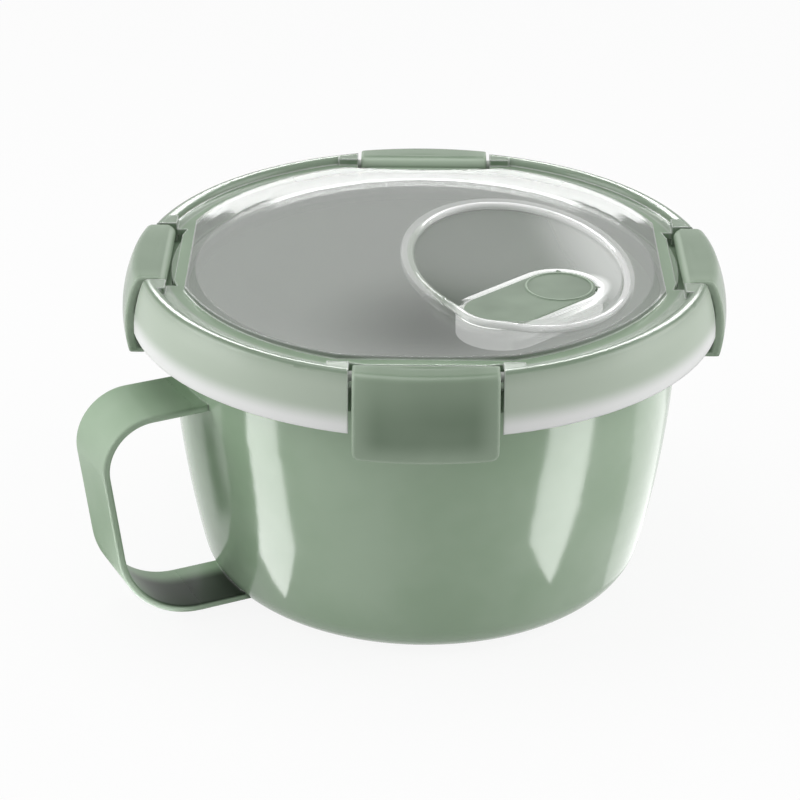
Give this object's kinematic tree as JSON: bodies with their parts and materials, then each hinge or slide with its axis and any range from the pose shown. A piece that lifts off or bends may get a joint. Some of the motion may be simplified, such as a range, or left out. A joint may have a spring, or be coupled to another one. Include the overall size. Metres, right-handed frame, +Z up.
{
  "type": "soup mug",
  "caption": "Round soup mug with a moulded strap handle and a see-through lid held down by hinged clips, with a finger scoop and a small steam vent flap.",
  "frame": {"origin": "middle of the base, on the surface that the mug stands on", "axes": "+Z up out of the bowl; the handle points along -X; +Y follows by the right hand"},
  "size_m": [0.1759, 0.158, 0.0903],
  "materials": {
    "green_plastic": "smooth sage green moulding with a soft gloss",
    "lid_plastic": "see-through natural plastic, polished on the panel and frosted on the ring",
    "seal": "soft matte seal",
    "pin_plastic": "plain white plastic rod"
  },
  "bodies": {
    "bowl": {"bowl": "green_plastic"},
    "lid": {"lid": "lid_plastic", "lid_seal": "seal", "vent_seal": "seal", "front_clip_pin": "pin_plastic", "right_clip_pin": "pin_plastic", "rear_clip_pin": "pin_plastic", "left_clip_pin": "pin_plastic"},
    "front_clip": {"front_clip": "green_plastic"},
    "right_clip": {"right_clip": "green_plastic"},
    "rear_clip": {"rear_clip": "green_plastic"},
    "left_clip": {"left_clip": "green_plastic"},
    "vent_flap": {"vent_flap": "green_plastic"}
  },
  "joints": [
    {"name": "lid_lift", "type": "slide", "parent": "bowl", "child": "lid", "axis": [0, 0, 1], "range_m": [0, 0.04]},
    {"name": "front_clip_open", "type": "hinge", "parent": "lid", "child": "front_clip", "pos_m": [-0.03099, -0.06355, 0.0876], "axis": [-0.8988, 0.4384, 0], "range_deg": [0, 120]},
    {"name": "right_clip_open", "type": "hinge", "parent": "lid", "child": "right_clip", "pos_m": [0.06355, -0.03099, 0.0876], "axis": [-0.4384, -0.8988, 0], "range_deg": [0, 120]},
    {"name": "rear_clip_open", "type": "hinge", "parent": "lid", "child": "rear_clip", "pos_m": [0.03099, 0.06355, 0.0876], "axis": [0.8988, -0.4384, 0], "range_deg": [0, 120]},
    {"name": "left_clip_open", "type": "hinge", "parent": "lid", "child": "left_clip", "pos_m": [-0.06355, 0.03099, 0.0876], "axis": [0.4384, 0.8988, 0], "range_deg": [0, 120]},
    {"name": "vent_flap_open", "type": "hinge", "parent": "lid", "child": "vent_flap", "pos_m": [0.03313, -0.02483, 0.0856], "axis": [-0.309, 0.9511, 0], "range_deg": [0, 70]}
  ]
}
